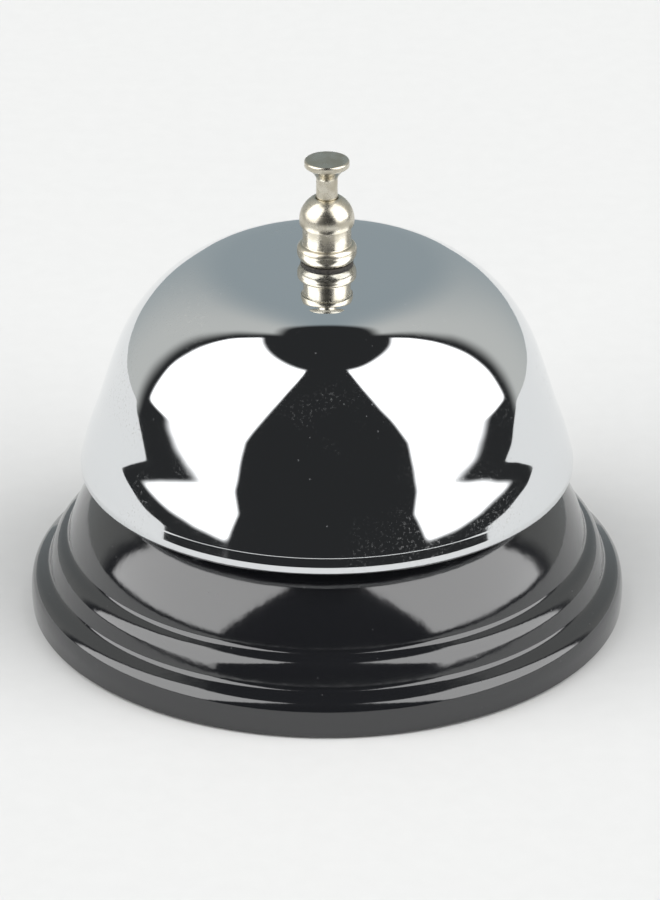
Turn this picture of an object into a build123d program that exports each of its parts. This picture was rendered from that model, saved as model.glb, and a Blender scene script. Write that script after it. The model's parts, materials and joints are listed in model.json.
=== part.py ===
"""Service bell: a chromed gong over a black stepped base, rung by pressing a sprung plunger.

Millimetres, +Z up.  The origin is the centre of the footprint, on the surface the bell rests on.
Pressing the plunger tips the striker about its pivot pin and lifts the hammer to the gong.
"""
from build123d import *
from math import cos, radians, sin
import os

# ---- driving dimensions -------------------------------------------------------------------
# base
base_radius = 42.5
base_wall = 1.0
foot_proud = 0.4            # how far the rubber ring stands below the steel rim
foot_height = 3.0
foot_width = 2.6
foot_edge_radius = 0.3
deck_z = 22.4               # upper face of the flat deck under the gong
bumper_x = 23.9             # rubber pad that the hammer hangs just above
bumper_radius = 2.8
bumper_height = 1.4

# gong
gong_top_z = 52.45
gong_wall = 0.9
gong_seat_radius = 5.0      # flat seat pressed into the crown
crown_radius = 128.3
crown_turn = 4.0            # degrees turned by each arc of the gong's outline
shoulder_radius = 13.1
shoulder_turn = 24.2
flank_radius = 22.9
flank_turn = 42.4
skirt_radius = 149.9
skirt_turn = 2.6
flare_radius = 45.0         # the skirt flares out a little above the hem
flare_turn = 3.9
neck_radius = 47.5
neck_turn = 5.2
neck_length = 0.95
hem_height = 2.6            # the rim is folded back on itself and rolled round
hem_proud = 0.2

# central stack: post, plunger and finial
thread_radius = 2.5
hole_slack = 0.05           # radial play of a washer or plate hole on the thread
collar_flats = 8.6
post_top_z = 57.2
post_bottom_z = 40.6
spring_seat_z = 46.0
spring_bore_radius = 1.95
top_washer_thickness = 0.35
top_washer_radius = 3.7
finial_top_z = 62.26
finial_ball_radius = 3.85
finial_ball_z = 58.9
finial_waist_radius = 3.4
finial_ceiling_z = 59.5     # inner step that keeps the plunger's collar in
plunger_top_z = 68.0
plunger_head_radius = 3.15
stem_radius = 1.5
rod_radius = 1.15
running_play = 0.06         # radial play of the plunger in its guides
plunger_tip_z = 40.06
spring_collar_radius = 1.85
spring_collar_height = 1.0
stem_step_z = 59.45         # the stem steps down to the rod here
spring_wire_radius = 0.16
spring_mean_radius = 1.58
spring_turns = 12

# bracket
bracket_wall = 1.2
bracket_top_z = 44.8
bracket_half_width = 9.2    # outside of the legs, along Y
bracket_back_x = -6.0
bracket_front_x = 11.5
foot_reach_y = 17.4
bend_radius = 1.6
screw_y = 13.8
screw_radius = 1.5
screw_hole_radius = 1.6

# striker
pivot_x = 7.5
pivot_z = 38.0
pin_radius = 1.0
pin_play = 0.05
rest_tilt = -10.4           # the tail is up by this angle at rest, down by it at full press
arm_drop = -22.6            # the hammer arm bends down from the line of the tail
arm_length = 19.6
strip_thickness = 1.2
strip_width = 5.0
tail_length = 9.5
hub_radius = 2.1
hub_half_length = 7.7
hammer_radius = 3.2
rivet_radius = 0.8
rivet_play = 0.02

os.makedirs("parts", exist_ok=True)


def finish(piece, name):
    """Label a finished piece and write it to its own file."""
    piece.part.label = name
    export_step(piece.part, f"parts/{name}.step")


def washer(bottom_z, thickness, hole_radius, radius):
    """A plain round washer centred on Z."""
    with BuildPart() as ring:
        with BuildSketch(Plane.XY.offset(bottom_z)):
            Circle(radius)
            Circle(hole_radius, mode=Mode.SUBTRACT)
        extrude(amount=thickness)
    return ring


# ---- base -----------------------------------------------------------------------------------
# The base is one pressed steel shell with three rounded tiers and creases between them.
# Lean is the angle between the wall and the vertical, positive inwards, in degrees.
rim_foot = (base_radius - 0.1, foot_proud)
rim_foot_lean = -5
rim_side_radius = 21.8
rim_brow_radius = 8.0
rim_brow_lean = 13
rim_edge_radius = 1.9
ledge_lean = 60
lower_ledge_length = 1.41
crease_radius = 0.9
tier_foot_lean = 14
tier_side_radius = 25.0
tier_side_lean = 18.5
tier_edge_radius = 2.7
upper_ledge_length = 0.7
wall_foot_lean = 13.5
wall_radius = 16.0
wall_top_lean = 44.4
slope_length = 3.78
deck_edge_radius = 4.6

with BuildPart() as base_shell:
    with BuildSketch(Plane.XZ):
        with BuildLine():
            foot_heading = (-sin(radians(rim_foot_lean)), cos(radians(rim_foot_lean)))
            rim_side = JernArc(rim_foot, foot_heading, rim_side_radius, -rim_foot_lean)
            rim_brow = JernArc(rim_side @ 1, rim_side % 1, rim_brow_radius, rim_brow_lean)
            rim_edge = JernArc(rim_brow @ 1, rim_brow % 1, rim_edge_radius, ledge_lean - rim_brow_lean)
            lower_ledge = Line(rim_edge @ 1, rim_edge @ 1 + rim_edge % 1 * lower_ledge_length)
            lower_crease = JernArc(
                lower_ledge @ 1, lower_ledge % 1, crease_radius, tier_foot_lean - ledge_lean
            )
            tier_side = JernArc(
                lower_crease @ 1, lower_crease % 1, tier_side_radius, tier_side_lean - tier_foot_lean
            )
            tier_edge = JernArc(tier_side @ 1, tier_side % 1, tier_edge_radius, ledge_lean - tier_side_lean)
            upper_ledge = Line(tier_edge @ 1, tier_edge @ 1 + tier_edge % 1 * upper_ledge_length)
            upper_crease = JernArc(
                upper_ledge @ 1, upper_ledge % 1, crease_radius, wall_foot_lean - ledge_lean
            )
            wall = JernArc(
                upper_crease @ 1, upper_crease % 1, wall_radius, wall_top_lean - wall_foot_lean
            )
            slope = Line(wall @ 1, wall @ 1 + wall % 1 * slope_length)
            deck_edge_end = ((slope @ 1).X - deck_edge_radius * cos(radians(wall_top_lean)), deck_z)
            deck_edge = TangentArc(slope @ 1, deck_edge_end, tangent=slope % 1)
            Line(deck_edge @ 1, (0, deck_z))
            offset(amount=base_wall, side=Side.LEFT, closed=True)
        make_face()
    revolve(axis=Axis.Z)
    with Locations((0, screw_y, deck_z), (0, -screw_y, deck_z)):
        Hole(screw_hole_radius, depth=2 * base_wall)
finish(base_shell, "base_shell")

foot_outer_radius = base_radius - base_wall - 0.2

with BuildPart() as foot_ring:
    with BuildSketch(Plane.XZ):
        with Locations((foot_outer_radius, 0)):
            Rectangle(foot_width, foot_height, align=(Align.MAX, Align.MIN))
    revolve(axis=Axis.Z)
    fillet(foot_ring.edges().group_by(Axis.Z)[0], radius=foot_edge_radius)
finish(foot_ring, "foot_ring")

with BuildPart() as striker_bumper:
    with BuildSketch(Plane.XY.offset(deck_z)):
        with Locations((bumper_x, 0)):
            Circle(bumper_radius)
    extrude(amount=bumper_height)
    fillet(striker_bumper.edges().group_by(Axis.Z)[-1], radius=foot_edge_radius)
finish(striker_bumper, "striker_bumper")


# ---- bracket and its fixings ----------------------------------------------------------------
# A strip bent into a bridge: two feet on the deck, two legs, and a plate that carries the post.
foot_top_z = deck_z + bracket_wall
bridge_path = [
    (foot_reach_y, foot_top_z),
    (bracket_half_width, foot_top_z),
    (bracket_half_width, bracket_top_z),
    (-bracket_half_width, bracket_top_z),
    (-bracket_half_width, foot_top_z),
    (-foot_reach_y, foot_top_z),
]
bracket_length = bracket_front_x - bracket_back_x

with BuildPart() as bridge_bracket:
    with BuildSketch(Plane.YZ.offset(bracket_back_x)):
        with BuildLine():
            FilletPolyline(*bridge_path, radius=bend_radius)
            offset(amount=bracket_wall, side=Side.LEFT, closed=True)
        make_face()
    extrude(amount=bracket_length)
    with Locations((0, 0, bracket_top_z)):
        Hole(thread_radius + hole_slack, depth=2 * bracket_wall)
    with Locations((0, screw_y, foot_top_z), (0, -screw_y, foot_top_z)):
        Hole(screw_hole_radius, depth=2 * bracket_wall)
    with Locations(Plane.XZ.offset(-bracket_half_width) * Pos(pivot_x, pivot_z)):
        Hole(pin_radius + rivet_play)
finish(bridge_bracket, "bridge_bracket")

lock_washer_thickness = 0.7
lock_washer_radius = 2.6
lock_washer_gap = 0.4
lock_washer_gap_angle = 25
screw_head_z = foot_top_z + lock_washer_thickness
screw_head_radius = 2.8
screw_head_height = 1.9
screw_head_round = 0.9
screw_slot_width = 0.8
screw_slot_depth = 0.9
screw_end_z = deck_z - 4.2
thread_chamfer = 0.3
nut_height = 2.2
nut_flats = 5.5
screw_places = [(0, screw_y), (0, -screw_y)]

with BuildPart() as bracket_screws:
    with BuildSketch(Plane.XY.offset(screw_end_z)):
        with Locations(screw_places):
            Circle(screw_radius)
    extrude(amount=screw_head_z - screw_end_z)
    with BuildSketch(Plane.XY.offset(screw_head_z)):
        with Locations(screw_places):
            Circle(screw_head_radius)
    extrude(amount=screw_head_height)
    fillet(bracket_screws.edges().group_by(Axis.Z)[-1], radius=screw_head_round)
    chamfer(bracket_screws.edges().group_by(Axis.Z)[0], length=thread_chamfer)
    with BuildSketch(Plane.XY.offset(screw_head_z + screw_head_height)):
        with Locations(screw_places):
            Rectangle(2 * screw_head_radius, screw_slot_width)
    extrude(amount=-screw_slot_depth, mode=Mode.SUBTRACT)
finish(bracket_screws, "bracket_screws")

with BuildPart() as bracket_lock_washers:
    with BuildSketch(Plane.XY.offset(foot_top_z)):
        with Locations(screw_places):
            Circle(lock_washer_radius)
            Circle(screw_radius + hole_slack, mode=Mode.SUBTRACT)
        with Locations([(x + screw_radius + hole_slack, y) for x, y in screw_places]):
            Rectangle(
                screw_radius,
                lock_washer_gap,
                rotation=lock_washer_gap_angle,
                align=(Align.MIN, Align.CENTER),
                mode=Mode.SUBTRACT,
            )
    extrude(amount=lock_washer_thickness)
finish(bracket_lock_washers, "bracket_lock_washers")

with BuildPart() as bracket_nuts:
    with BuildSketch(Plane.XY.offset(deck_z - base_wall - nut_height)):
        with Locations(screw_places):
            RegularPolygon(nut_flats / 2, 6, major_radius=False)
            Circle(screw_radius + rivet_play, mode=Mode.SUBTRACT)
    extrude(amount=nut_height)
finish(bracket_nuts, "bracket_nuts")


# ---- central stack ----------------------------------------------------------------------------
gong_seat_z = gong_top_z - gong_wall
seat_washer_thickness = 0.55
seat_washer_radius = 4.2
collar_top_z = gong_seat_z - seat_washer_thickness
collar_chamfer = 0.35

with BuildPart() as post:
    with BuildSketch(Plane.XY.offset(bracket_top_z)):
        RegularPolygon(collar_flats / 2, 6, major_radius=False)
    extrude(amount=collar_top_z - bracket_top_z)
    chamfer(post.edges().filter_by(GeomType.LINE).filter_by(Axis.Z, reverse=True), length=collar_chamfer)
    with BuildSketch(Plane.XY.offset(post_bottom_z)):
        Circle(thread_radius)
    extrude(amount=post_top_z - post_bottom_z)
    chamfer(post.edges().filter_by(GeomType.CIRCLE).group_by(Axis.Z)[0], length=thread_chamfer)
    chamfer(post.edges().filter_by(GeomType.CIRCLE).group_by(Axis.Z)[-1], length=thread_chamfer)
    with Locations((0, 0, post_top_z)):
        CounterBoreHole(
            radius=rod_radius + running_play,
            counter_bore_radius=spring_bore_radius,
            counter_bore_depth=post_top_z - spring_seat_z,
        )
finish(post, "post")

plate_under_z = bracket_top_z - bracket_wall
post_washer_thickness = 0.6
post_washer_radius = 3.9
post_nut_height = 2.2
post_nut_flats = 8.0

post_washer_z = plate_under_z - post_washer_thickness
post_lock_washer = washer(
    post_washer_z, post_washer_thickness, thread_radius + hole_slack, post_washer_radius
)
finish(post_lock_washer, "post_lock_washer")

with BuildPart() as post_nut:
    with BuildSketch(Plane.XY.offset(post_washer_z - post_nut_height)):
        RegularPolygon(post_nut_flats / 2, 6, major_radius=False)
        Circle(thread_radius + rivet_play, mode=Mode.SUBTRACT)
    extrude(amount=post_nut_height)
finish(post_nut, "post_nut")

gong_seat_washer = washer(
    collar_top_z, seat_washer_thickness, thread_radius + hole_slack, seat_washer_radius
)
finish(gong_seat_washer, "gong_seat_washer")


# The gong's outline is a chain of tangent arcs, turning from level at the crown to steep at the rim.
with BuildPart() as gong:
    with BuildSketch(Plane.XZ):
        with BuildLine():
            seat = Line((thread_radius + hole_slack, gong_top_z), (gong_seat_radius, gong_top_z))
            crown = JernArc(seat @ 1, seat % 1, crown_radius, -crown_turn)
            shoulder = JernArc(crown @ 1, crown % 1, shoulder_radius, -shoulder_turn)
            flank = JernArc(shoulder @ 1, shoulder % 1, flank_radius, -flank_turn)
            skirt = JernArc(flank @ 1, flank % 1, skirt_radius, -skirt_turn)
            flare = JernArc(skirt @ 1, skirt % 1, flare_radius, flare_turn)
            neck = JernArc(flare @ 1, flare % 1, neck_radius, -neck_turn)
            lip = Line(neck @ 1, neck @ 1 + neck % 1 * (neck_length + hem_height))
            skirt_end = lip @ 1
            skirt_slope = lip % 1
            offset(amount=gong_wall, side=Side.RIGHT, closed=True)
        make_face()
        outward = skirt_slope.rotate(Axis.Z, 90)
        hem_centre = skirt_end - skirt_slope * (hem_height / 2) - outward * (gong_wall / 2)
        with Locations(hem_centre):
            SlotOverall(
                hem_height,
                gong_wall + 2 * hem_proud,
                rotation=Vector(1, 0, 0).get_signed_angle(skirt_slope),
            )
    revolve(axis=Axis.Z)
finish(gong, "gong")

gong_top_washer = washer(gong_top_z, top_washer_thickness, thread_radius + hole_slack, top_washer_radius)
finish(gong_top_washer, "gong_top_washer")

# The finial is a turned cap nut: a bowl-shaped foot, a waist and a ball that guides the plunger.
finial_bottom_z = gong_top_z + top_washer_thickness
finial_thread_radius = thread_radius + rivet_play
finial_thread_top_z = post_top_z + 0.2
finial_bore_radius = spring_bore_radius + 0.1
finial_guide_radius = stem_radius + running_play
bowl_bottom_radius = 3.55
bowl_side = (4.05, finial_bottom_z + 0.7)
bowl_widest = (4.15, 54.3)
bowl_shoulder = (4.05, 54.95)
bowl_lip = (3.65, 55.3)
waist_bottom = (finial_waist_radius, 55.4)
waist_top = (finial_waist_radius, 58.1)
ball_bottom_z = 58.25
ball_bottom_radius = (finial_ball_radius**2 - (ball_bottom_z - finial_ball_z) ** 2) ** 0.5
ball_top_radius = (finial_ball_radius**2 - (finial_top_z - finial_ball_z) ** 2) ** 0.5
ball_side = (
    finial_ball_radius * cos(radians(30)),
    finial_ball_z + finial_ball_radius * sin(radians(30)),
)

with BuildPart() as finial_nut:
    with BuildSketch(Plane.XZ):
        with BuildLine():
            bottom = Line((finial_thread_radius, finial_bottom_z), (bowl_bottom_radius, finial_bottom_z))
            bowl = ThreePointArc(bottom @ 1, bowl_side, bowl_widest)
            bowl_round = ThreePointArc(bowl @ 1, bowl_shoulder, bowl_lip)
            waist = Polyline(
                bowl_round @ 1,
                waist_bottom,
                waist_top,
                (ball_bottom_radius, ball_bottom_z),
            )
            ball = ThreePointArc(waist @ 1, ball_side, (ball_top_radius, finial_top_z))
            Polyline(
                ball @ 1,
                (finial_guide_radius, finial_top_z),
                (finial_guide_radius, finial_ceiling_z),
                (finial_bore_radius, finial_ceiling_z),
                (finial_bore_radius, finial_thread_top_z),
                (finial_thread_radius, finial_thread_top_z),
                bottom @ 0,
            )
        make_face()
    revolve(axis=Axis.Z)
finish(finial_nut, "finial_nut")


# ---- plunger ----------------------------------------------------------------------------------
head_cone_z = 65.2
head_cone_middle = (2.15, 66.2)
head_edge_z = 67.0
head_edge_height = 0.55
head_crown_edge = (plunger_head_radius - 0.4, 67.88)

with BuildPart() as plunger:
    with BuildSketch(Plane.XZ):
        with BuildLine():
            tip = TangentArc((0, plunger_tip_z), (rod_radius, plunger_tip_z + rod_radius), tangent=(1, 0))
            sides = Polyline(
                tip @ 1,
                (rod_radius, stem_step_z),
                (stem_radius, stem_step_z),
                (stem_radius, head_cone_z),
            )
            cone = ThreePointArc(sides @ 1, head_cone_middle, (plunger_head_radius, head_edge_z))
            edge = Line(cone @ 1, (plunger_head_radius, head_edge_z + head_edge_height))
            crown_edge = TangentArc(edge @ 1, head_crown_edge, tangent=edge % 1)
            dome = TangentArc((0, plunger_top_z), crown_edge @ 1, tangent=(1, 0))
            Line(dome @ 0, tip @ 0)
        make_face()
    revolve(axis=Axis.Z)
finish(plunger, "plunger")

spring_collar_z = stem_step_z - spring_collar_height
spring_collar = washer(spring_collar_z, spring_collar_height, rod_radius, spring_collar_radius)
finish(spring_collar, "spring_collar")

spring_height = spring_collar_z - spring_seat_z - 2 * spring_wire_radius
with BuildPart() as return_spring:
    with BuildLine():
        coil = Helix(
            pitch=spring_height / spring_turns,
            height=spring_height,
            radius=spring_mean_radius,
            center=(0, 0, spring_seat_z + spring_wire_radius),
        )
    with BuildSketch(Plane(coil @ 0, z_dir=coil % 0)):
        Circle(spring_wire_radius)
    sweep()
finish(return_spring, "return_spring")


# ---- striker ----------------------------------------------------------------------------------
# The striker is drawn in its own plane through the pivot: x along the tail, y up, tilted to rest.
lever_plane = Plane(
    origin=(pivot_x, 0, pivot_z),
    x_dir=(cos(radians(rest_tilt)), 0, sin(radians(rest_tilt))),
    z_dir=(0, -1, 0),
)
arm_plane = Plane(
    origin=(pivot_x, 0, pivot_z),
    x_dir=(cos(radians(rest_tilt + arm_drop)), 0, sin(radians(rest_tilt + arm_drop))),
    z_dir=(0, -1, 0),
)
arm_end = arm_length + 1.2     # the arm runs a little past the middle of the hammer

with BuildPart() as striker_arm:
    with BuildSketch(lever_plane):
        with Locations((-tail_length, 0)):
            Rectangle(tail_length, strip_thickness, align=(Align.MIN, Align.CENTER))
        Circle(hub_radius)
    extrude(amount=strip_width / 2, both=True)
    with BuildSketch(arm_plane):
        Rectangle(arm_end, strip_thickness, align=(Align.MIN, Align.CENTER))
    extrude(amount=strip_width / 2, both=True)
    with BuildSketch(lever_plane):
        Circle(hub_radius)
    extrude(amount=hub_half_length, both=True)
    with BuildSketch(lever_plane):
        Circle(pin_radius + pin_play)
    extrude(amount=hub_half_length, both=True, mode=Mode.SUBTRACT)
    with BuildSketch(Plane(arm_plane.from_local_coords(Vector(arm_length, 0, 0)), z_dir=arm_plane.y_dir)):
        Circle(rivet_radius + rivet_play)
    extrude(amount=strip_thickness, both=True, mode=Mode.SUBTRACT)
finish(striker_arm, "striker_arm")

rivet_half_length = hammer_radius - 0.15
hammer_centre = arm_plane.from_local_coords(Vector(arm_length, 0, 0))
rivet_plane = Plane(hammer_centre, z_dir=arm_plane.y_dir)

with BuildPart() as striker_hammer:
    with Locations(hammer_centre):
        Sphere(hammer_radius)
    with BuildSketch(arm_plane):
        Rectangle(arm_end + rivet_play, strip_thickness + 2 * rivet_play, align=(Align.MIN, Align.CENTER))
    extrude(amount=hammer_radius, both=True, mode=Mode.SUBTRACT)
    with BuildSketch(rivet_plane):
        Circle(rivet_radius + rivet_play)
    extrude(amount=hammer_radius, both=True, mode=Mode.SUBTRACT)
finish(striker_hammer, "striker_hammer")

with BuildPart() as hammer_rivet:
    with BuildSketch(rivet_plane):
        Circle(rivet_radius)
    extrude(amount=rivet_half_length, both=True)
finish(hammer_rivet, "hammer_rivet")


# ---- pivot ------------------------------------------------------------------------------------
pivot_plane = Plane(origin=(pivot_x, 0, pivot_z), z_dir=(0, 1, 0))
clip_gap = 0.15
clip_thickness = 0.5
clip_inner_radius = 0.75
clip_outer_radius = 2.0
clip_y = bracket_half_width + clip_gap
clip_slot_width = 1.2
pin_half_length = clip_y + clip_thickness + 0.7
pin_chamfer = 0.2

with BuildPart() as pivot_pin:
    with BuildSketch(pivot_plane):
        Circle(pin_radius)
    extrude(amount=pin_half_length, both=True)
    chamfer(pivot_pin.edges(), length=pin_chamfer)
    for side in (1, -1):
        with BuildSketch(pivot_plane.offset(side * clip_y)):
            Circle(pin_radius)
            Circle(clip_inner_radius, mode=Mode.SUBTRACT)
        extrude(amount=side * clip_thickness, mode=Mode.SUBTRACT)
finish(pivot_pin, "pivot_pin")

with BuildPart() as pivot_clips:
    for side in (1, -1):
        with BuildSketch(pivot_plane.offset(side * clip_y)):
            Circle(clip_outer_radius)
            Circle(clip_inner_radius + rivet_play, mode=Mode.SUBTRACT)
            with Locations((0, -clip_outer_radius)):
                Rectangle(clip_slot_width, clip_outer_radius * 2, mode=Mode.SUBTRACT)
        extrude(amount=side * clip_thickness)
finish(pivot_clips, "pivot_clips")
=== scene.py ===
"""Looks of the service bell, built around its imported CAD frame.  Metres, +Z up."""
import json
import math

import bmesh
import bpy
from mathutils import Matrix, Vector


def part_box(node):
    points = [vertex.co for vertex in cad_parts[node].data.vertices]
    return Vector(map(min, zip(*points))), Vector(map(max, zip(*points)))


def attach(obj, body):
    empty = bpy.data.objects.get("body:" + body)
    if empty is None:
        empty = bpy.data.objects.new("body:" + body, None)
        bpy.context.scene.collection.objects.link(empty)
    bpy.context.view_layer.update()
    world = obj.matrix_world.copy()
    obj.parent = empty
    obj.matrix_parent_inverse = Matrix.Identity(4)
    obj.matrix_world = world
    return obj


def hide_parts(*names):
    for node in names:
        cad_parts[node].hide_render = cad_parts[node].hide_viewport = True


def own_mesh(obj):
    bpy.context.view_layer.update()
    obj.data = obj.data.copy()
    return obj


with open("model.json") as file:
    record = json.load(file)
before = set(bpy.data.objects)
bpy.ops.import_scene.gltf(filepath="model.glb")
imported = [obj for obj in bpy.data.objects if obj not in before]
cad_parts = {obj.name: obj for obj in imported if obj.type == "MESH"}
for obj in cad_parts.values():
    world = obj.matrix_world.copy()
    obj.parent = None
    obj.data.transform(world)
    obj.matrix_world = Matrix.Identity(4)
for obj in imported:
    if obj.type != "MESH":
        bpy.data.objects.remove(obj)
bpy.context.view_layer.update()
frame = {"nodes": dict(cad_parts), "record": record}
NODES = frame["nodes"]
MM = 0.001
SHARP_EDGE = 32.0  # degrees between faces, above which an edge is left sharp

# the soft boxes: brightness, and their edges in degrees
SOFT_BOX = 3.4
BOX_INNER, BOX_OUTER = 46.0, 105.0
BOX_BOTTOM, BOX_TOP = 2.0, 66.0
BOX_LEAN = 0.35


# ---- outlines: (radius, height) in millimetres, swept round the Z axis ----
class Outline:
    """A pen that draws an outline from lines and arcs, kept as closely spaced points."""

    def __init__(self, start, step=0.3, heading=(1.0, 0.0)):
        self.points = [Vector(start)]
        self.heading = Vector(heading)
        self.step = step

    def line(self, to):
        """A straight run, with a point near each end so that shading stays flat between them."""
        start, to = self.points[-1].copy(), Vector(to)
        self.heading = (to - start).normalized()
        guard = self.heading * min(0.08, 0.2 * (to - start).length)
        self.points += [start + guard, to - guard, to]

    def turn(self, radius, degrees):
        """An arc that leaves along the present heading; positive turns anticlockwise."""
        side = math.copysign(1.0, degrees)
        centre = self.points[-1] + Vector((-self.heading.y, self.heading.x)) * side * radius
        self._sweep(centre, math.radians(degrees))

    def tangent_arc(self, to):
        """An arc that leaves along the present heading and ends at a point."""
        chord = Vector(to) - self.points[-1]
        cross = self.heading.x * chord.y - self.heading.y * chord.x
        half = math.atan2(cross, self.heading.dot(chord))
        self.turn(chord.length / (2 * abs(math.sin(half))), math.degrees(2 * half))

    def arc_through(self, middle, to):
        """An arc from here through a middle point to an end point."""
        a, b, c = self.points[-1], Vector(middle), Vector(to)
        ab, ac = b - a, c - a
        cross = 2 * (ab.x * ac.y - ab.y * ac.x)
        offset = Vector((ac.y * ab.length_squared - ab.y * ac.length_squared,
                         ab.x * ac.length_squared - ac.x * ab.length_squared)) / cross
        centre = a + offset
        start, end = a - centre, c - centre
        angle = math.atan2(start.x * end.y - start.y * end.x, start.dot(end))
        if angle * cross < 0:
            angle += math.copysign(2 * math.pi, cross)
        self._sweep(centre, angle)

    def forward(self, distance):
        """A straight run along the present heading."""
        self.line(self.points[-1] + self.heading * distance)

    def _sweep(self, centre, angle):
        spoke = self.points[-1] - centre
        by_length = math.ceil(spoke.length * abs(angle) / self.step)
        by_angle = math.ceil(abs(angle) / math.radians(6))
        count = max(2, by_length, by_angle)
        for i in range(1, count + 1):
            a = angle * i / count
            self.points.append(centre + Vector((
                spoke.x * math.cos(a) - spoke.y * math.sin(a),
                spoke.x * math.sin(a) + spoke.y * math.cos(a),
            )))
        tangent = Vector((-spoke.y, spoke.x)) * math.copysign(1.0, angle)
        self.heading = Vector((
            tangent.x * math.cos(angle) - tangent.y * math.sin(angle),
            tangent.x * math.sin(angle) + tangent.y * math.cos(angle),
        )).normalized()


def offset_points(points, wall):
    """The same line one wall to its left (or right, when wall is negative), without knots at creases."""
    moved = []
    for i, point in enumerate(points):
        along = (points[min(i + 1, len(points) - 1)] - points[max(i - 1, 0)]).normalized()
        moved.append(point + Vector((-along.y, along.x)) * wall)
    return [p for p in moved if min((p - q).length for q in points) > 0.97 * abs(wall)]


def lathe(name, outline, segments, body, finish, replaced, closed=True):
    """A mesh swept round Z from an outline, standing for a CAD node and riding on its body."""
    mesh = bmesh.new()
    rings = []
    for point in outline:
        radius, height = point.x * MM, point.y * MM
        if radius < 1e-7:
            rings.append([mesh.verts.new((0, 0, height))] * segments)
            continue
        rings.append([
            mesh.verts.new((
                radius * math.cos(2 * math.pi * k / segments),
                radius * math.sin(2 * math.pi * k / segments),
                height,
            )) for k in range(segments)
        ])
    pairs = list(zip(rings, rings[1:]))
    if closed:
        pairs.append((rings[-1], rings[0]))
    for low, high in pairs:
        for k in range(segments):
            corners = [low[k], low[k - 1], high[k - 1], high[k]]
            distinct = list(dict.fromkeys(corners))
            if len(distinct) > 2:
                mesh.faces.new(distinct)
    bmesh.ops.recalc_face_normals(mesh, faces=mesh.faces)
    return settle(name, mesh, body, finish, replaced)


def settle(name, mesh, body, finish, replaced):
    """Turns a bmesh into a smooth-shaded piece on a body, in place of a CAD node."""
    data = bpy.data.meshes.new(name)
    mesh.to_mesh(data)
    mesh.free()
    data.shade_smooth()
    data.set_sharp_from_angle(angle=math.radians(SHARP_EDGE))
    piece = bpy.data.objects.new(name, data)
    bpy.context.scene.collection.objects.link(piece)
    data.materials.append(finish)
    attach(piece, body)
    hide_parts(*replaced)
    return piece


# ---- finishes ----
class Shader:
    """A short hand for building node trees."""

    def __init__(self, tree):
        self.tree = tree
        tree.nodes.clear()

    def node(self, kind, settings=(), **inputs):
        """Adds a node; inputs name sockets, with spaces as underscores, and take values or sockets."""
        made = self.tree.nodes.new(kind)
        for key, value in dict(settings).items():
            setattr(made, key, value)
        for key, value in inputs.items():
            self.feed(made.inputs[key.replace("_", " ")], value)
        return made

    def feed(self, socket, value):
        """Links a socket to a socket, or sets its value."""
        if isinstance(value, bpy.types.NodeSocket):
            self.tree.links.new(value, socket)
        else:
            socket.default_value = value

    def math(self, operation, a, b=0.0, c=0.0):
        """A Math node."""
        made = self.tree.nodes.new("ShaderNodeMath")
        made.operation = operation
        for socket, value in zip(made.inputs, (a, b, c)):
            self.feed(socket, value)
        return made.outputs[0]

    def ramp(self, value, low, high, start=0.0, end=1.0):
        """Smooth step from start to end as value goes from low to high."""
        made = self.node("ShaderNodeMapRange", {"interpolation_type": "SMOOTHSTEP"}, Value=value)
        for key, number in (("From Min", low), ("From Max", high), ("To Min", start), ("To Max", end)):
            self.feed(made.inputs[key], number)
        return made.outputs["Result"]

    def mix(self, factor, a, b):
        """Mixes two colours."""
        made = self.tree.nodes.new("ShaderNodeMix")
        made.data_type = "RGBA"
        self.feed(made.inputs[0], factor)
        for socket, value in ((made.inputs[6], a), (made.inputs[7], b)):
            self.feed(socket, (*value, 1.0) if isinstance(value, tuple) and len(value) == 3 else value)
        return made.outputs[2]

    def blend(self, factor, a, b):
        """Mixes two surfaces."""
        made = self.tree.nodes.new("ShaderNodeMixShader")
        for socket, value in zip(made.inputs, (factor, a, b)):
            self.feed(socket, value)
        return made.outputs[0]

    def noise(self, place, scale, detail=2.0):
        """Smooth noise from 0 to 1."""
        return self.node("ShaderNodeTexNoise", Vector=place, Scale=scale, Detail=detail).outputs["Fac"]

    def stretched(self, place, scale):
        """The place scaled along each axis, for marks that run one way."""
        made = self.node("ShaderNodeMapping", Vector=place, Scale=scale)
        return made.outputs["Vector"]


def material(name, build):
    """A material whose surface is what build(shader, place) returns; place is the object position."""
    made = bpy.data.materials.new(name)
    made.use_nodes = True
    shader = Shader(made.node_tree)
    place = shader.node("ShaderNodeTexCoord").outputs["Object"]
    surface = build(shader, place)
    output = shader.node("ShaderNodeOutputMaterial")
    made.node_tree.links.new(surface, output.inputs["Surface"])
    return made


def specks(s, place, scale, share, seed_shift):
    """Small round marks, 1 at their middle; share is how many cells hold one."""
    shifted = s.node("ShaderNodeMapping", Vector=place, Location=seed_shift).outputs["Vector"]
    cells = s.node("ShaderNodeTexVoronoi", Vector=shifted, Scale=scale)
    dot = s.ramp(cells.outputs["Distance"], 0.22, 0.08)
    pick = s.node("ShaderNodeSeparateColor", Color=cells.outputs["Color"]).outputs[0]
    return s.math("MULTIPLY", dot, s.math("LESS_THAN", pick, share))


def bump(s, height, strength, distance):
    """A normal raised by a height."""
    return s.node("ShaderNodeBump", Height=height, Strength=strength, Distance=distance).outputs["Normal"]


def principled(s, **inputs):
    """The surface shader that every finish uses."""
    return s.node("ShaderNodeBsdfPrincipled", **inputs).outputs["BSDF"]


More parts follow.
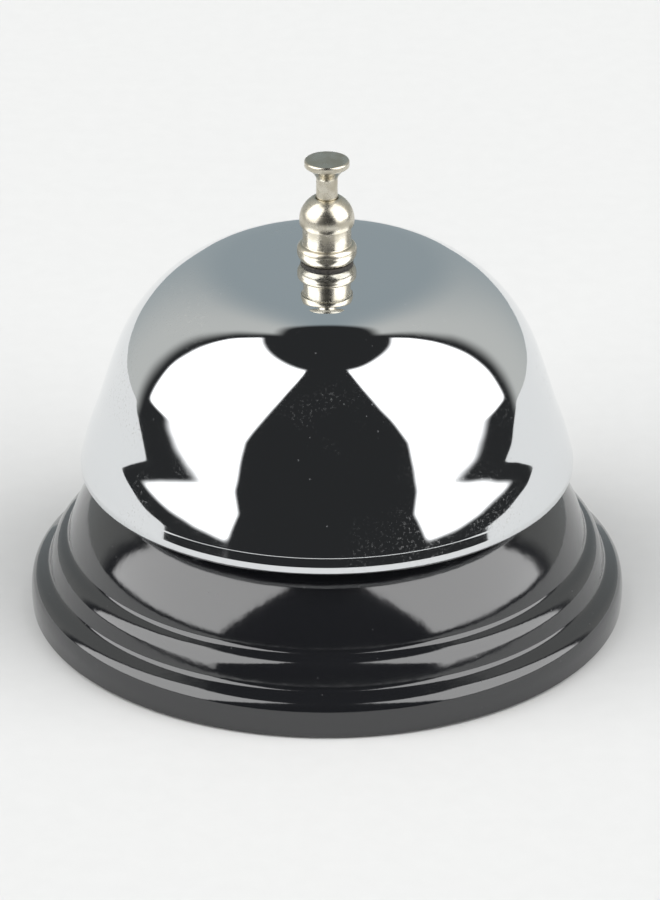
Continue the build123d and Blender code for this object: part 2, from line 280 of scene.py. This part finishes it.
def chrome_plate(s, place):
    """Bright chrome with faint polishing waves, fine hairlines, and a thin drift of dust."""
    waves = s.noise(place, 70.0, 2.0)
    hairlines = s.noise(s.stretched(place, (40.0, 40.0, 900.0)), 14.0, 4.0)
    drift = s.ramp(s.noise(place, 75.0, 3.0), 0.50, 0.72)
    grain = s.ramp(s.noise(place, 2600.0, 2.0), 0.56, 0.70)
    dust = s.math("MULTIPLY", grain, drift)
    pits = specks(s, place, 1300.0, 0.03, (0.3, 0.1, 0.2))
    sheen = s.math("MULTIPLY_ADD", dust, 0.05, s.math("MULTIPLY", pits, 0.04))
    roughness = s.math("ADD", sheen, s.ramp(hairlines, 0.3, 0.8, 0.022, 0.05))
    normal = bump(s, waves, 0.05, 0.002)
    tint = s.mix(s.math("MULTIPLY", dust, 0.5), (0.77, 0.785, 0.80), (0.66, 0.66, 0.64))
    bare = s.math("SUBTRACT", 1.0, s.math("MULTIPLY_ADD", dust, 0.13, s.math("MULTIPLY", pits, 0.12)))
    return principled(s, Base_Color=tint, Metallic=bare, Roughness=roughness, Normal=normal)


def nickel_plate(s, place):
    """Nickel over turned brass: slightly warm, with fine turning marks round the axis."""
    rings = s.noise(s.stretched(place, (60.0, 60.0, 5200.0)), 1.0, 3.0)
    patches = s.noise(place, 700.0, 3.0)
    tint = s.mix(s.ramp(patches, 0.35, 0.7), (0.61, 0.575, 0.49), (0.49, 0.45, 0.36))
    roughness = s.math("ADD", s.ramp(patches, 0.3, 0.7, 0.20, 0.30), s.math("MULTIPLY", rings, 0.06))
    normal = bump(s, rings, 0.12, 0.00006)
    return principled(s, Base_Color=tint, Metallic=1.0, Roughness=roughness, Normal=normal)


def black_gloss_enamel(s, place):
    """Baked gloss enamel with a slight orange peel and a little dust."""
    peel = s.noise(place, 420.0, 2.0)
    dust = specks(s, place, 1600.0, 0.03, (0.2, 0.6, 0.1))
    tint = s.mix(s.math("MULTIPLY", dust, 0.3), (0.009, 0.0095, 0.011), (0.10, 0.10, 0.10))
    roughness = s.math("ADD", s.ramp(s.noise(place, 90.0, 3.0), 0.3, 0.7, 0.07, 0.13),
                       s.math("MULTIPLY", dust, 0.3))
    normal = bump(s, peel, 0.06, 0.0004)
    return principled(s, Base_Color=tint, Roughness=roughness, IOR=1.68, Coat_Weight=0.35,
                      Coat_Roughness=0.06, Normal=normal)


def rubber(s, place):
    """Moulded black rubber, matt and finely grained."""
    grain = s.noise(place, 2500.0, 4.0)
    tint = s.mix(s.noise(place, 200.0, 3.0), (0.018, 0.018, 0.018), (0.035, 0.034, 0.033))
    return principled(s, Base_Color=tint, Roughness=s.ramp(grain, 0.2, 0.8, 0.62, 0.85),
                      Normal=bump(s, grain, 0.35, 0.0001))


def fibre(s, place):
    """Dark pressed fibre, with short flecks."""
    flecks = s.noise(s.stretched(place, (1.0, 2.4, 1.0)), 1800.0, 5.0)
    tint = s.mix(s.ramp(flecks, 0.35, 0.7), (0.022, 0.020, 0.018), (0.07, 0.062, 0.052))
    return principled(s, Base_Color=tint, Roughness=0.75, Normal=bump(s, flecks, 0.4, 0.00008))


def zinc_plate(s, place):
    """Clear zinc plate: pale blue-grey with a faint yellow bloom and rolling marks."""
    rolled = s.noise(s.stretched(place, (1800.0, 90.0, 90.0)), 1.0, 4.0)
    bloom = s.noise(place, 140.0, 3.0)
    tint = s.mix(s.ramp(bloom, 0.35, 0.7), (0.60, 0.62, 0.645), (0.64, 0.62, 0.53))
    return principled(s, Base_Color=tint, Metallic=1.0, Roughness=s.ramp(rolled, 0.2, 0.8, 0.22, 0.38),
                      Normal=bump(s, rolled, 0.15, 0.00006))


def spring_steel(s, place):
    """Drawn steel wire and pins, darker and lightly oiled."""
    drawn = s.noise(place, 1500.0, 3.0)
    tint = s.mix(s.ramp(drawn, 0.3, 0.7), (0.42, 0.42, 0.43), (0.30, 0.29, 0.28))
    return principled(s, Base_Color=tint, Metallic=1.0, Roughness=s.ramp(drawn, 0.3, 0.7, 0.18, 0.32))


def brass(s, place):
    """Turned brass, slightly tarnished."""
    tarnish = s.noise(place, 350.0, 4.0)
    tint = s.mix(s.ramp(tarnish, 0.4, 0.72), (0.80, 0.61, 0.29), (0.50, 0.36, 0.17))
    rings = s.noise(s.stretched(place, (90.0, 90.0, 3000.0)), 1.0, 3.0)
    return principled(s, Base_Color=tint, Metallic=1.0, Roughness=s.ramp(tarnish, 0.3, 0.8, 0.16, 0.36),
                      Normal=bump(s, rings, 0.12, 0.00006))


FINISHES = {
    "chrome_plate": material("chrome_plate", chrome_plate),
    "nickel_plate": material("nickel_plate", nickel_plate),
    "black_gloss_enamel": material("black_gloss_enamel", black_gloss_enamel),
    "black_rubber": material("black_rubber", rubber),
    "black_fibre": material("black_fibre", fibre),
    "zinc_plated_steel": material("zinc_plated_steel", zinc_plate),
    "spring_steel": material("spring_steel", spring_steel),
    "brass": material("brass", brass),
}
SLOT_OF = {part["node"]: part["material_slot"] for part in frame["record"]["subparts"]}
BODY_OF = {node: body for body, members in frame["record"]["behaviour"]["bodies"].items() for node in members}


def finish_cad_node(name):
    """Gives a CAD node that stays its procedural finish."""
    node = NODES[name]
    node.data.materials.clear()
    node.data.materials.append(FINISHES[SLOT_OF[name]])


def turned(name, outline, segments, closed=True):
    """A lathed piece that stands for the CAD node of the same name."""
    return lathe(name + "_fine", outline, segments, BODY_OF[name],
                 FINISHES[SLOT_OF[name]], [name], closed)


# ---- pieces ----
def heights(node):
    """(bottom, top, radius) of a round node, in millimetres."""
    low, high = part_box(node)
    return low.z / MM, high.z / MM, high.x / MM


def make_gong():
    """The chromed gong: one sheet, flared above a rolled hem."""
    top = heights("gong")[1]
    wall, hole, seat = 0.9, 2.55, 5.0
    pen = Outline((hole, top), step=0.3)
    pen.line((seat, top))
    crown, shoulder, flank = (128.3, -4.0), (13.1, -24.2), (22.9, -42.4)
    skirt, flare, neck = (149.9, -2.6), (45.0, 3.9), (47.5, -5.2)
    for radius, degrees in (crown, shoulder, flank, skirt, flare, neck):
        pen.turn(radius, degrees)
    pen.forward(0.75)
    inner = offset_points(pen.points, -wall)
    # the hem: a fine line tucked inwards, a short face, and the edge rolled under
    pen.turn(0.15, -10.0)
    pen.forward(0.04)
    pen.turn(0.15, 10.0)
    pen.forward(1.23)
    pen.turn(0.6, -14.0)
    pen.forward(0.5)
    pen.turn(0.7, -91.5)
    pen.forward(0.2)
    pen.turn(0.35, -74.5)
    pen.forward(2.2)
    pen.turn(0.2, -70.0)
    return turned("gong", pen.points + inner[::-1], 288)


def make_base():
    """The enamelled base: one sheet pressed in three tiers, under a flat deck."""
    bottom, deck, radius = heights("base_shell")
    wall, lean, foot_inset, deck_turn = 1.0, math.radians(-5.0), 0.083, 4.6
    pen = Outline((radius - foot_inset, bottom), step=0.2, heading=(-math.sin(lean), math.cos(lean)))
    # arcs as (radius, degrees), straight runs as a length
    rim = ((21.8, 5.0), (8.0, 13.0), (1.9, 47.0), 1.41)
    tier = ((0.9, -46.0), (25.0, 4.5), (2.7, 41.5), 0.7)
    side = ((0.9, -46.5), (16.0, 30.9), 3.78)
    for move in rim + tier + side:
        if isinstance(move, tuple):
            pen.turn(*move)
        else:
            pen.forward(move)
    pen.tangent_arc((pen.points[-1].x - deck_turn * pen.heading.y, deck))
    pen.line((0.0, deck))
    return turned("base_shell", pen.points + offset_points(pen.points, wall)[::-1], 288)


def make_finial():
    """The turned cap nut: bowl, waist and ball, with its edges just broken."""
    bottom, top, radius = heights("finial_nut")
    ball, ball_z, guide, thread = 3.85, 58.9, 1.56, 2.52
    widest = math.radians(30)
    pen = Outline((thread, bottom), step=0.12)
    pen.line((3.5, bottom))
    pen.arc_through((radius - 0.11, 53.5), (radius - 0.02, 54.3))
    pen.arc_through((radius - 0.12, 54.95), (3.65, 55.3))
    pen.arc_through((3.47, 55.37), (3.41, 55.52))
    pen.line((3.4, 57.95))
    pen.arc_through((3.46, 58.12), (3.6, 58.2))
    pen.line((3.78, 58.24))
    pen.arc_through((ball * math.cos(widest), ball_z + ball * math.sin(widest)), (1.95, 62.215))
    pen.arc_through((1.8, top - 0.005), (guide + 0.1, top - 0.02))
    for corner in ((guide, top - 0.12), (guide, 59.5), (2.05, 59.5), (2.05, 57.4), (thread, 57.4)):
        pen.line(corner)
    return turned("finial_nut", pen.points, 128)


def make_plunger():
    """The plunger: rounded tip, rod, stem and domed button with a broken edge."""
    tip, top, radius = heights("plunger")
    rod, stem = 1.15, 1.5
    pen = Outline((0.0, tip), step=0.12)
    pen.tangent_arc((rod, tip + rod))
    pen.line((rod, 59.45))
    pen.line((stem - 0.05, 59.45))
    pen.line((stem, 59.5))
    pen.line((stem, 65.2))
    pen.arc_through((2.15, 66.2), (radius - 0.08, 66.95))
    pen.arc_through((radius - 0.01, 67.02), (radius, 67.14))
    pen.line((radius, 67.55))
    pen.tangent_arc((2.75, 67.88))
    pen.arc_through((1.4, top - 0.031), (0.0, top))
    return turned("plunger", pen.points, 96, closed=False)


def make_foot_ring():
    """The rubber ring, with moulded grooves in its sole for grip."""
    low, high, outer = heights("foot_ring")
    inner, groove, edge = 38.7, 0.25, 0.3
    pen = Outline((inner, high), step=0.2)
    pen.line((inner, low + edge))
    pen.arc_through((inner + 0.09, low + 0.09), (inner + edge, low))
    for start in (inner + 0.65, inner + 1.2, inner + 1.75):
        pen.line((start - 0.1, low))
        pen.arc_through((start, low + groove), (start + 0.1, low))
    pen.line((outer - edge, low))
    pen.arc_through((outer - 0.09, low + 0.09), (outer, low + edge))
    pen.line((outer, high - 0.1))
    pen.line((outer - 0.1, high))
    return turned("foot_ring", pen.points, 192)


def make_spring():
    """The return spring: round wire, its end coils closed flat, built at rest length on a mesh of its own."""
    low, high, outer = heights("return_spring")
    wire, coils, around, per_coil = 0.16, 13.0, 10, 40
    closed_turn, wire_across = 0.75, 0.32
    end_lift = closed_turn * wire_across
    mean = outer - wire
    foot, head = low + wire, high - wire
    mesh = bmesh.new()
    rings = []
    for i in range(int(coils * per_coil) + 1):
        turn = i / per_coil
        rise = min(max((turn - closed_turn) / (coils - 2 * closed_turn), 0.0), 1.0)
        end_turns = min(turn, closed_turn) + min(max(turn - coils + closed_turn, 0.0), closed_turn)
        end_rise = wire_across * (end_turns - closed_turn)
        height = foot + end_lift + end_rise + rise * (head - foot - 2 * end_lift)
        angle = 2 * math.pi * turn
        out = Vector((math.cos(angle), math.sin(angle), 0.0))
        ring = []
        for k in range(around):
            a = 2 * math.pi * k / around
            centre_to_skin = Vector((0, 0, height + wire * math.sin(a)))
            ring.append(mesh.verts.new((out * (mean + wire * math.cos(a)) + centre_to_skin) * MM))
        rings.append(ring)
    for low_ring, high_ring in zip(rings, rings[1:]):
        for k in range(around):
            mesh.faces.new([low_ring[k], low_ring[k - 1], high_ring[k - 1], high_ring[k]])
    for ring in (rings[0], rings[-1]):
        mesh.faces.new(ring)
    bmesh.ops.recalc_face_normals(mesh, faces=mesh.faces)
    slot = SLOT_OF["return_spring"]
    spring = settle("return_spring_fine", mesh, BODY_OF["return_spring"], FINISHES[slot],
                    ["return_spring"])
    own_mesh(spring)


make_finial()
make_plunger()
make_foot_ring()
make_spring()
make_gong()
make_base()
for name in NODES:
    if not NODES[name].hide_render:
        finish_cad_node(name)


# ---- studio ----
def light_studio():
    """Plain soft light: two soft boxes beside the camera, pale walls behind the bell, a dark ceiling.

    Azimuth is measured from the camera's side, positive to the right; elevation from the horizon.
    """
    world = bpy.data.worlds.new("studio")
    bpy.context.scene.world = world
    world.use_nodes = True
    s = Shader(world.node_tree)
    ray = s.node("ShaderNodeTexCoord").outputs["Generated"]
    x, y, z = s.node("ShaderNodeSeparateXYZ", Vector=ray).outputs
    azimuth = s.math("DEGREES", s.math("ARCTAN2", x, s.math("MULTIPLY", y, -1.0)))
    up = s.math("DEGREES", s.math("ARCSINE", z))
    away = s.math("ABSOLUTE", azimuth)

    # one soft box, the same on either side, leaning towards the other at the top
    inner_edge = s.math("SUBTRACT", away, s.math("MULTIPLY_ADD", up, -BOX_LEAN, BOX_INNER))
    box = s.ramp(inner_edge, -2.0, 2.0)
    box = s.math("MULTIPLY", box, s.ramp(away, BOX_OUTER + 2.0, BOX_OUTER - 2.0))
    box = s.math("MULTIPLY", box, s.ramp(up, BOX_BOTTOM - 1.5, BOX_BOTTOM + 1.5))
    box = s.math("MULTIPLY", box, s.ramp(up, BOX_TOP + 2.0, BOX_TOP - 2.0))

    walls = s.math("MULTIPLY", s.ramp(away, 108.0, 118.0), s.ramp(up, 74.0, 69.0))
    wall_tint = s.mix(s.ramp(away, 120.0, 178.0), (0.58, 0.59, 0.57), (0.32, 0.37, 0.39))
    room = s.mix(walls, (0.025, 0.026, 0.027), wall_tint)
    room = s.mix(box, room, (SOFT_BOX, SOFT_BOX, SOFT_BOX))
    room = s.mix(s.ramp(up, -5.5, -7.5), room, (0.7, 0.7, 0.7))
    backdrop = s.node("ShaderNodeLightPath").outputs["Is Camera Ray"]
    colour = s.mix(backdrop, room, (1.0, 1.0, 1.0))
    light = s.node("ShaderNodeBackground", Color=colour, Strength=1.0)
    output = s.node("ShaderNodeOutputWorld")
    world.node_tree.links.new(light.outputs["Background"], output.inputs["Surface"])


def lay_floor():
    """A pale round table top, which a camera below it sees through; under the bell it lets light in."""
    radius, rim_count, below_bell = 0.45, 96, -0.00002
    mesh = bmesh.new()
    rim = []
    for k in range(rim_count):
        angle = 2 * math.pi * k / rim_count
        rim.append(mesh.verts.new((radius * math.cos(angle), radius * math.sin(angle), below_bell)))
    mesh.faces.new(rim)
    data = bpy.data.meshes.new("floor")
    mesh.to_mesh(data)
    mesh.free()

    def surface(s, place):
        """Plain pale paper."""
        x, y, _ = s.node("ShaderNodeSeparateXYZ", Vector=place).outputs
        squares = s.math("ADD", s.math("MULTIPLY", x, x), s.math("MULTIPLY", y, y))
        from_bell = s.math("SQRT", squares)
        tint = s.mix(s.noise(place, 300.0, 3.0), (0.67, 0.67, 0.665), (0.70, 0.70, 0.695))
        paper = s.node("ShaderNodeBsdfDiffuse", Color=tint).outputs["BSDF"]
        clear = s.node("ShaderNodeBsdfTransparent").outputs["BSDF"]
        under = s.node("ShaderNodeNewGeometry").outputs["Backfacing"]
        inside = s.ramp(from_bell, 0.0386, 0.0382)
        return s.blend(s.math("MAXIMUM", under, inside), paper, clear)

    floor = bpy.data.objects.new("floor", data)
    data.materials.append(material("pale_floor", surface))
    bpy.context.scene.collection.objects.link(floor)


def place_camera():
    """Looks along +Y and down at the bell."""
    distance, elevation, focal = 0.700, math.radians(26.56), 196.86
    side, target_z = 0.00043, 0.02301
    data = bpy.data.cameras.new("camera")
    data.sensor_width, data.lens = 36.0, focal
    data.clip_start, data.clip_end = 0.01, 20.0
    camera = bpy.data.objects.new("camera", data)
    camera.location = (side, -distance * math.cos(elevation), target_z + distance * math.sin(elevation))
    camera.rotation_euler = (math.pi / 2 - elevation, 0.0, 0.0)
    bpy.context.scene.collection.objects.link(camera)
    bpy.context.scene.camera = camera


light_studio()
lay_floor()
place_camera()
bpy.context.scene.view_settings.view_transform = "Standard"
